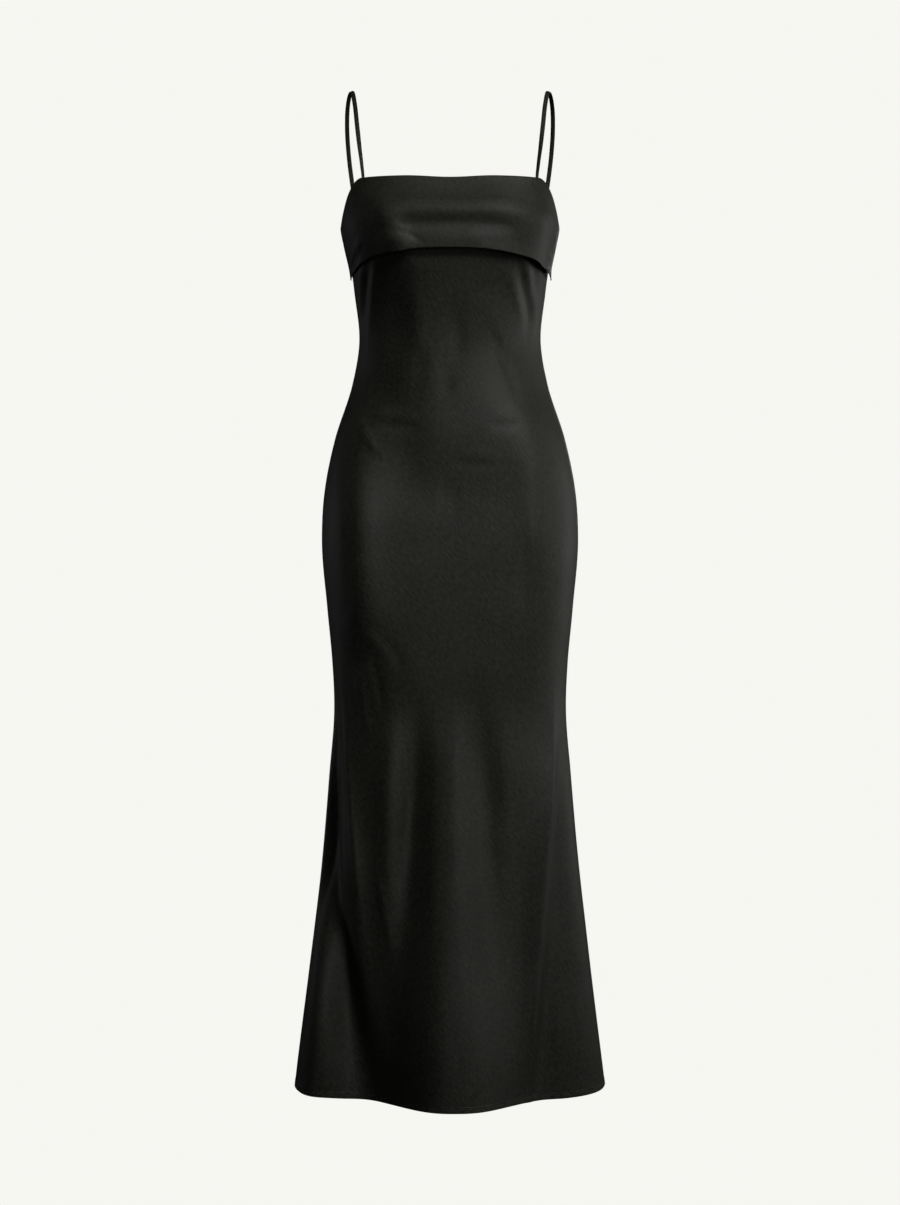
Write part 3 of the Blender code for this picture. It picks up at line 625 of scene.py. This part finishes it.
def add_cloth_mesh(name, points, faces, flat, turned=False):
    """A smooth mesh with each point's place on the flat cloth, in metres, as its UVs."""
    mesh = bpy.data.meshes.new(name)
    mesh.from_pydata(points.tolist(), [], faces)
    if turned:
        mesh.flip_normals()
    corners = np.empty(len(mesh.loops), dtype=np.int32)
    mesh.loops.foreach_get("vertex_index", corners)
    layer = mesh.uv_layers.new(name="cloth")
    layer.data.foreach_set("uv", flat[corners].astype(np.float32).ravel())
    mesh.shade_smooth()
    mesh.set_sharp_from_angle(angle=SHARP_ANGLE)
    return add_object(name, mesh)


def grid_faces(rows, columns, flip):
    """Quads of a grid as vertex numbers."""
    r, c = np.meshgrid(np.arange(rows - 1), np.arange(columns - 1), indexing="ij")
    a = (r * columns + c).ravel()
    quads = np.stack([a, a + columns, a + columns + 1, a + 1], axis=1)
    return quads[:, ::-1] if flip else quads


def add_shell(name, outside, inside, flip):
    """A closed thin shell between two grids of the same rows and columns."""
    rows, columns = outside.shape[:2]
    count = rows * columns
    outer = grid_faces(rows, columns, flip)
    inner = grid_faces(rows, columns, not flip) + count
    at = np.arange(count).reshape(rows, columns)
    ring = np.concatenate([at[0, :-1], at[:-1, -1], at[-1, :0:-1], at[:0:-1, 0]])
    after = np.roll(ring, -1)
    rim = np.stack([ring, after, after + count, ring + count], axis=1)
    if flip:
        rim = rim[:, ::-1]
    across = run_along(outside, axis=1)
    across = across - across[:, columns // 2, None]
    down = run_along(outside)
    down = np.broadcast_to(down.mean(axis=1, keepdims=True), down.shape)
    flat = np.stack([across, -down], axis=-1).reshape(-1, 2)
    points = np.concatenate([outside.reshape(-1, 3), inside.reshape(-1, 3)])
    faces = np.concatenate([outer, inner, rim]).tolist()
    return add_cloth_mesh(name, points, faces, np.concatenate([flat, flat]))


def panel_surface(panel, columns):
    """The finished outside of a panel, ripples, seams and turned edges included."""
    u = np.linspace(-1, 1, columns)
    z = panel_heights(panel, u)
    grid_u = np.broadcast_to(u, z.shape)
    points = cloth_point(panel, grid_u, z)
    to_seam = section_point(panel, grid_u, z)[4]
    offset = ripple(points, RIPPLE_SHIFTS[panel]) * smoothstep(to_seam / RIPPLE_FADE_AT_SEAM)
    offset += turned_edge(z - hem_edge(panel, u))
    if panel == BACK:
        offset += turned_edge(top_edge(panel, u) - z)
    offset -= SEAM_GROOVE * np.exp(-to_seam / SEAM_GROOVE_REACH)
    points = points + grid_normals(points, panel) * offset[..., None]
    points[:, 0, 1] = points[:, -1, 1] = -panel * SEAM_OVERLAP / 2
    return points, turned_out_at_seams(grid_normals(points, panel))


def build_panel(name, node, panel, columns):
    points, normal = panel_surface(panel, columns)
    obj = add_shell(name, points, points - normal * WALL, flip=panel == BACK)
    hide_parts(node)
    return obj, points, normal


def cuff_low_edge(u):
    return table_curve(CUFF_LOW, CUFF_LOW_COLUMNS, "out", "z", np.abs(u))


def cuff_lift(down, x):
    """How far the cuff's middle layer stands off the front."""
    left, centre, right = (
        table_curve(CUFF_LIFTS, CUFF_LIFT_COLUMNS, "down", name, down)
        for name in ("left", "centre", "right")
    )
    to_side = smoothstep((np.abs(x) - CUFF_CENTRE_REACH) / (CUFF_SIDE_REACH - CUFF_CENTRE_REACH))
    lift = centre + (np.where(x < 0, left, right) - centre) * to_side
    caught = smoothstep((CUFF_END_X - np.abs(x)) / CUFF_END_FADE)
    return CUFF_TOP_LIFT + (lift - CUFF_TOP_LIFT) * caught


def cuff_crease(down, x):
    """How far the cuff's small creases move it outwards, at this share of its height."""
    total = np.zeros_like(x)
    for row in CUFF_CREASES:
        crease = dict(zip(CUFF_CREASE_COLUMNS, row))
        total += crease["height"] * crease_profile(
            x, down * CUFF_HEIGHT, crease["x_a"], crease["down_a"] * CUFF_HEIGHT,
            crease["x_b"], crease["down_b"] * CUFF_HEIGHT, crease["width"], bow=0.0,
        )
    return total


def cuff_edge(u, top):
    """Points along the front's top edge, and the directions out of it and up from it."""
    edge = cloth_point(FRONT, u[None], top[None])[0]
    below = cloth_point(FRONT, u[None], top[None] - NORMAL_STEP_Z)[0]
    along = np.gradient(edge, axis=0)
    out = turned_out_at_seams(unit(np.cross(below - edge, along)))
    up = unit(np.cross(out, along))
    up *= np.sign(up[:, 2])[:, None]
    up[0] = up[-1] = (0, 0, 1)
    return edge, out, up


def cuff_front(u, top, downs):
    """The cuff's middle layer where it hangs over the front, lowest row first."""
    z = top + (cuff_low_edge(u) - top) * downs[:, None]
    grid_u = np.broadcast_to(u, z.shape)
    down = np.broadcast_to(downs[:, None], z.shape)
    points = cloth_point(FRONT, grid_u, z)
    normal = turned_out_at_seams(grid_normals(points[::-1], FRONT)[::-1])
    to_seam = section_point(FRONT, grid_u, z)[4]
    soft = smoothstep(to_seam / RIPPLE_FADE_AT_SEAM) * smoothstep(down / CUFF_SOFT_SHARE)
    uneven = (cuff_crease(down, points[..., 0]) + ripple(points, CUFF_RIPPLE_SHIFT)) * soft
    lift = cuff_lift(down, points[..., 0]) + uneven
    return points + normal * lift[..., None], normal


def build_cuff():
    """The doubled band, in one J-shaped shell with a round fold along its lower edge."""
    u = np.linspace(-1, 1, FRONT_COLUMNS)
    top = top_edge(FRONT, u)
    edge, edge_out, up = cuff_edge(u, top)
    half = CUFF_WALL / 2
    rounding = np.array(CUFF_FOLD_ROWS) * half
    lower = rounding / CUFF_HEIGHT
    downs = np.concatenate([1 - lower, np.linspace(1 - lower[-1], 0, CUFF_ROWS)[1:]])
    points, normal = cuff_front(u, top, downs)
    middle, normals = list(points), list(normal)
    spine = edge - edge_out * (CAD_WALL / 2)
    radius = CAD_WALL / 2 + CUFF_TOP_LIFT
    for angle in np.linspace(0, math.pi, ROLL_ROWS + 1)[1:]:
        radial = edge_out * math.cos(angle) + up * math.sin(angle)
        middle.append(spine + radial * radius)
        normals.append(radial)
    for depth in np.linspace(0, CUFF_RETURN, CUFF_RETURN_ROWS + 1)[1:]:
        inner = cloth_point(FRONT, u[None], (top - depth)[None])[0]
        middle.append(inner - edge_out * (CAD_WALL + CUFF_TOP_LIFT))
        normals.append(-edge_out)
    middle, normals = np.array(middle), np.array(normals)
    thick = np.full(len(middle), half)
    round_share = np.sqrt(1 - (1 - rounding / half) ** 2)
    thick[:len(rounding)] = half * np.maximum(round_share, CUFF_FOLD_TIP)
    offset = normals * thick[:, None, None]
    outside, inside = (middle + offset)[::-1], (middle - offset)[::-1]
    obj = add_shell("cuff_cloth", outside, inside, flip=False)
    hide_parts("bust_cuff")
    return obj


def u_at_x(panel, x, z):
    """Where on the cloth this x lies at this height."""
    us = np.linspace(0, 1, CLOTH_SAMPLES)
    xs = section_point(panel, us, np.full_like(us, z))[0]
    return float(np.interp(abs(x), xs, us)) * (1 if x > 0 else -1)


def plain_normal(panel, u, z):
    """Unit normal of the cloth at one point, over a small step each way."""
    us = np.array((u - NORMAL_STEP_U, u + NORMAL_STEP_U, u, u))
    zs = np.array((z, z, z + NORMAL_STEP_Z, z - NORMAL_STEP_Z))
    left, right, over, under = cloth_point(panel, us, zs)
    return unit(np.cross(under - over, right - left) * -panel)


def sewn_end(panel, x, inset):
    """Centre points and outward normals of a strap's sewn end, lowest first."""
    u = u_at_x(panel, x, UNDERARM_Z if panel == BACK else FRONT_CORNER_Z)
    top = float(top_edge(panel, np.array(u)))
    points, normals = [], []
    for z in (top - STRAP_SEWN, top - STRAP_SEWN / 2, top):
        normal = plain_normal(panel, u, z)
        points.append(cloth_point(panel, np.array(u), np.array(z)) - normal * inset)
        normals.append(normal)
    return points, normals


def strap_route():
    """Every point of the left strap's centre line, from its front end to its back end."""
    front_inset = CAD_WALL + CUFF_TOP_LIFT + CUFF_WALL / 2 + STRAP_EASE + STRAP_THICK / 2
    back_inset = CAD_WALL + STRAP_EASE + STRAP_THICK / 2
    front, front_out = sewn_end(FRONT, -STRAP_FRONT_X, front_inset)
    back, back_out = sewn_end(BACK, -STRAP_BACK_X, back_inset)
    points = np.array(front + [np.array(p) for p in STRAP_ROUTE] + back[::-1])
    return points, front_out[1], back_out[1]


def strap_flat_side(s, ahead, front_out, back_out):
    """The direction of the strap's width, s of the way along it."""
    on_front = np.cross(front_out, ahead)
    on_back = np.cross(ahead, back_out)
    on_front *= np.sign(on_front[0])
    on_back *= np.sign(on_back[0])
    on_shoulder = np.array((math.cos(STRAP_TILT), 0.0, math.sin(STRAP_TILT)))
    front_share = 1 - smoothstep((s - STRAP_LEAVES_FRONT) / STRAP_TURN_REACH)
    back_share = smoothstep((s - STRAP_MEETS_BACK) / STRAP_TURN_REACH)
    wide = on_front * front_share + on_back * back_share
    wide = wide + on_shoulder * (1 - front_share - back_share)
    wide = unit(wide - ahead * (wide @ ahead))
    twist = STRAP_TWIST * math.exp(-(((s - STRAP_TWIST_AT) / STRAP_TWIST_REACH) ** 2))
    twist *= smoothstep((s - STRAP_TWIST_FROM) / STRAP_TWIST_FADE)
    return wide * math.cos(twist) + np.cross(ahead, wide) * math.sin(twist)


def squared(value):
    """A sine or cosine drawn out, which makes an oval a little squarer."""
    return math.copysign(abs(value) ** STRAP_SQUARENESS, value)


def strap_rings(mirror):
    """The strap's flattened oval outline at each station of a smooth curve on its route."""
    points, front_out, back_out = strap_route()
    run = run_along(points)
    at = np.linspace(0, run[-1], STRAP_STATIONS)
    centre = np.stack([curve_through(run, points[:, k], at) for k in range(3)], axis=1)
    tangent = unit(np.gradient(centre, axis=0))
    side = (-1 if mirror else 1, 1, 1)
    first_wave, second_wave = STRAP_WAVES
    rings = []
    for number, (point, ahead, s) in enumerate(zip(centre, tangent, at / run[-1])):
        wide = strap_flat_side(s, ahead, front_out, back_out)
        thick = np.cross(ahead, wide)
        width = STRAP_WIDTH * (1 - STRAP_PINCH * (1 - smoothstep(s / STRAP_PINCH_REACH)))
        wave = math.sin(number * first_wave) * math.sin(number * second_wave)
        full = 1 + STRAP_UNEVEN * wave
        ring = []
        for k in range(STRAP_SIDES):
            angle = 2 * math.pi * k / STRAP_SIDES
            wide_part = wide * squared(math.cos(angle)) * width / 2
            thick_part = thick * squared(math.sin(angle)) * STRAP_THICK / 2 * full
            ring.append((point + wide_part + thick_part) * side)
        rings.append(ring)
    return np.array(rings)


def build_strap(name, node, mirror):
    """A closed tube through the strap's rings."""
    rings = strap_rings(mirror)
    stations, sides = rings.shape[:2]
    r, k = np.meshgrid(np.arange(stations - 1), np.arange(sides), indexing="ij")
    a, b = (r * sides + k).ravel(), (r * sides + (k + 1) % sides).ravel()
    faces = np.stack([a, b, b + sides, a + sides], axis=1).tolist()
    faces.append(list(range(sides))[::-1])
    faces.append([(stations - 1) * sides + i for i in range(sides)])
    girth = np.arange(sides) * (STRAP_WIDTH * STRAP_GIRTH_SHARE / sides)
    along = run_along(rings.mean(axis=1))[:, None]
    flat = np.stack(np.broadcast_arrays(girth, along), axis=-1).reshape(-1, 2)
    obj = add_cloth_mesh(name, rings.reshape(-1, 3), faces, flat, turned=mirror)
    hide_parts(node)
    return obj


def stitch_line(points, normal, from_hem=True):
    """Points and normals of the row of a panel's grid that its hem or top stitches follow."""
    z = points[..., 2]
    gap = np.abs(z - z[-1:] - STITCH_INSET) if from_hem else np.abs(z[:1] - z - STITCH_INSET)
    row = int(gap.mean(axis=1).argmin())
    return points[row], normal[row]


def add_stitches(name, lines):
    """Thread stitches along lines of points with normals, each a small closed spindle."""
    spokes = ((1, 0), (0, 1), (-1, 0), (0, -1))
    points, faces = [], []
    for line, normals in lines:
        run = run_along(line)
        for start in np.arange(STITCH_PITCH, run[-1] - STITCH_PITCH, STITCH_PITCH):
            at = np.array((start, start + STITCH_LENGTH / 2, start + STITCH_LENGTH))
            a, middle, b = np.stack([np.interp(at, run, line[:, k]) for k in range(3)], axis=1)
            out = np.array([np.interp(at[1], run, normals[:, k]) for k in range(3)])
            side = unit(np.cross(unit(b - a), out))
            rest = out * STITCH_RADIUS * STITCH_PROUD_SHARE
            first = len(points)
            points += [a, b]
            for across, up in spokes:
                points.append(middle + rest + (side * across + out * up) * STITCH_RADIUS)
            for k in range(len(spokes)):
                j = (k + 1) % len(spokes)
                faces.append((first, first + 2 + j, first + 2 + k))
                faces.append((first + 1, first + 2 + k, first + 2 + j))
    mesh = bpy.data.meshes.new(name)
    mesh.from_pydata([tuple(p) for p in points], [], faces)
    shaped = bmesh.new()
    shaped.from_mesh(mesh)
    bmesh.ops.recalc_face_normals(shaped, faces=shaped.faces)
    shaped.to_mesh(mesh)
    shaped.free()
    mesh.shade_smooth()
    return add_object(name, mesh)


def node_adder(tree):
    """A function that adds a node to the tree and gives back one of its outputs. Its inputs,
    by name or number, take a value or another node's output."""
    def add(kind, output=None, inputs=None, **settings):
        node = tree.nodes.new(kind)
        for key, value in settings.items():
            setattr(node, key, value)
        for name, given in (inputs or {}).items():
            if isinstance(given, bpy.types.NodeSocket):
                tree.links.new(given, node.inputs[name])
            else:
                node.inputs[name].default_value = given
        return node.outputs[output] if output else node
    return add


def set_ramp(colour, places, shades):
    """Sets the two ends of the colour ramp that this output comes from."""
    for element, place, shade in zip(colour.node.color_ramp.elements, places, shades):
        element.position = place
        element.color = (*shade, 1.0)


def new_material(name):
    """A material with its node tree and its main shader."""
    material = bpy.data.materials.new(name)
    material.use_nodes = True
    return material, material.node_tree, material.node_tree.nodes["Principled BSDF"]


def cloth_material(name, dark, light, roughness, slant):
    """Matte satin: a fine weave over slanting ribs, with uneven colour and sheen."""
    material, tree, shader = new_material(name)
    add = node_adder(tree)
    link = tree.links.new
    shader.inputs["Specular IOR Level"].default_value = CLOTH_SPECULAR
    lengths = add("ShaderNodeUVMap", "UV", uv_map="cloth")
    slanted = add("ShaderNodeMapping", "Vector",
                  {"Vector": lengths, "Rotation": (0, 0, math.radians(slant))})
    ribs_at = add("ShaderNodeMapping", "Vector", {"Vector": slanted, "Scale": RIB_SCALE})
    ribs = add("ShaderNodeTexNoise", "Fac", {"Vector": ribs_at, **RIB_NOISE})
    weft, warp = (
        add("ShaderNodeTexWave", "Fac", {"Vector": slanted, **THREAD_WAVE}, bands_direction=way)
        for way in ("Y", "X")
    )
    weave = add("ShaderNodeMath", "Value", {0: weft, 1: warp}, operation="MULTIPLY")
    patches = add("ShaderNodeTexNoise", "Fac", {"Vector": lengths, **PATCH_NOISE})
    spread = add("ShaderNodeMath", "Value", {0: patches, 1: PATCH_SHARE}, operation="MULTIPLY")
    tone = add("ShaderNodeMath", "Value", {0: ribs, 1: RIB_SHARE, 2: spread},
               operation="MULTIPLY_ADD")
    colour = add("ShaderNodeValToRGB", "Color", {"Fac": tone})
    set_ramp(colour, TONE_RANGE, (dark, light))
    rough = add("ShaderNodeMapRange", "Result", {
        "Value": ribs, "To Min": roughness - ROUGHNESS_RANGE, "To Max": roughness + ROUGHNESS_RANGE,
    })
    rib_bump = add("ShaderNodeBump", "Normal", {"Height": ribs, **RIB_BUMP})
    bump = add("ShaderNodeBump", "Normal", {"Height": weave, "Normal": rib_bump, **WEAVE_BUMP})
    link(colour, shader.inputs["Base Color"])
    link(rough, shader.inputs["Roughness"])
    link(bump, shader.inputs["Normal"])
    return material


def thread_material():
    """Twisted black thread."""
    material, tree, shader = new_material("thread")
    add = node_adder(tree)
    shader.inputs["Roughness"].default_value = THREAD_ROUGHNESS
    place = add("ShaderNodeTexCoord", "Object")
    twist = add("ShaderNodeTexNoise", "Fac", {"Vector": place, "Scale": THREAD_TWIST_SCALE})
    colour = add("ShaderNodeValToRGB", "Color", {"Fac": twist})
    set_ramp(colour, (0.0, 1.0), (THREAD_DARK, THREAD_LIGHT))
    tree.links.new(colour, shader.inputs["Base Color"])
    return material


def finish_piece(obj, material):
    obj.data.materials.clear()
    obj.data.materials.append(material)
    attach(obj, "root")


def build_dress():
    """Every visible piece, with its material and its slot."""
    cloth, cuff_cloth, strap_cloth = (
        cloth_material(**dict(zip(CLOTH_COLUMNS, row))) for row in CLOTHS
    )
    thread = thread_material()
    front, *front_grid = build_panel("front_cloth", "front_panel", FRONT, FRONT_COLUMNS)
    back, *back_grid = build_panel("back_cloth", "back_panel", BACK, BACK_COLUMNS)
    cuff = build_cuff()
    left = build_strap("strap_left_cloth", "strap_left", mirror=False)
    right = build_strap("strap_right_cloth", "strap_right", mirror=True)
    hem_lines = [stitch_line(*front_grid), stitch_line(*back_grid)]
    hem_stitches = add_stitches("hem_stitches", hem_lines)
    top_stitches = add_stitches("back_top_stitches", [stitch_line(*back_grid, from_hem=False)])
    for obj in (front, back):
        finish_piece(obj, cloth)
    finish_piece(cuff, cuff_cloth)
    for obj in (left, right):
        finish_piece(obj, strap_cloth)
    for obj in (hem_stitches, top_stitches):
        finish_piece(obj, thread)
    return front, back, cuff, hem_stitches, top_stitches


def add_camera():
    data = bpy.data.cameras.new("camera")
    data.sensor_width = SENSOR
    data.lens = SENSOR * FOCAL_PIXELS / PHOTO_HEIGHT
    camera = add_object("camera", data)
    camera.location = (CAMERA_X, -CAMERA_DISTANCE, CAMERA_Z)
    camera.rotation_euler = (math.pi / 2, 0, 0)
    bpy.context.scene.camera = camera


def add_lights():
    for row in LIGHTS:
        light = dict(zip(LIGHT_COLUMNS, row))
        data = bpy.data.lights.new(light["name"], "AREA")
        data.shape = "SQUARE"
        data.size = light["size"]
        data.spread = math.radians(light["spread"])
        data.energy = light["watts"]
        data.color = light["colour"]
        obj = add_object(light["name"], data)
        obj.location = light["place"]
        towards = Vector(light["aim"]) - Vector(light["place"])
        obj.rotation_euler = towards.to_track_quat("-Z", "Y").to_euler()


def add_world():
    """A pale studio: bright where the camera sees it, dim as a light."""
    world = bpy.data.worlds.new("studio")
    bpy.context.scene.world = world
    world.use_nodes = True
    world.node_tree.nodes.clear()
    add = node_adder(world.node_tree)
    seen = add("ShaderNodeBackground", "Background", {"Color": (*BACKGROUND, 1)})
    lit = add("ShaderNodeBackground", "Background",
              {"Color": (*WARM_WHITE, 1), "Strength": AMBIENT})
    in_view = add("ShaderNodeLightPath", "Is Camera Ray")
    mix = add("ShaderNodeMixShader", "Shader", {"Fac": in_view, 1: lit, 2: seen})
    add("ShaderNodeOutputWorld", inputs={"Surface": mix})


def floor_material():
    """The background's own brightness from above, clear from below."""
    material = bpy.data.materials.new("pale_floor")
    material.use_nodes = True
    material.node_tree.nodes.clear()
    add = node_adder(material.node_tree)
    glow = add("ShaderNodeEmission", "Emission", {"Color": (*BACKGROUND, 1)})
    clear = add("ShaderNodeBsdfTransparent", "BSDF")
    from_below = add("ShaderNodeNewGeometry", "Backfacing")
    mix = add("ShaderNodeMixShader", "Shader", {"Fac": from_below, 1: glow, 2: clear})
    add("ShaderNodeOutputMaterial", inputs={"Surface": mix})
    return material


def add_floor():
    """A pale floor that runs into the background and neither lights nor shades the dress."""
    turns = [2 * math.pi * k / FLOOR_SIDES for k in range(FLOOR_SIDES)]
    ring = [(FLOOR_RADIUS * math.cos(a), FLOOR_RADIUS * math.sin(a), FLOOR_Z) for a in turns]
    mesh = bpy.data.meshes.new("floor")
    mesh.from_pydata(ring, [], [list(range(FLOOR_SIDES))])
    mesh.materials.append(floor_material())
    floor = add_object("floor", mesh)
    floor.visible_diffuse = False
    floor.visible_glossy = False
    floor.visible_shadow = False


def main():
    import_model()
    front, back, cuff, hem_stitches, top_stitches = build_dress()
    add_camera()
    add_lights()
    add_world()
    add_floor()
    bpy.context.scene.view_settings.view_transform = "Standard"


main()
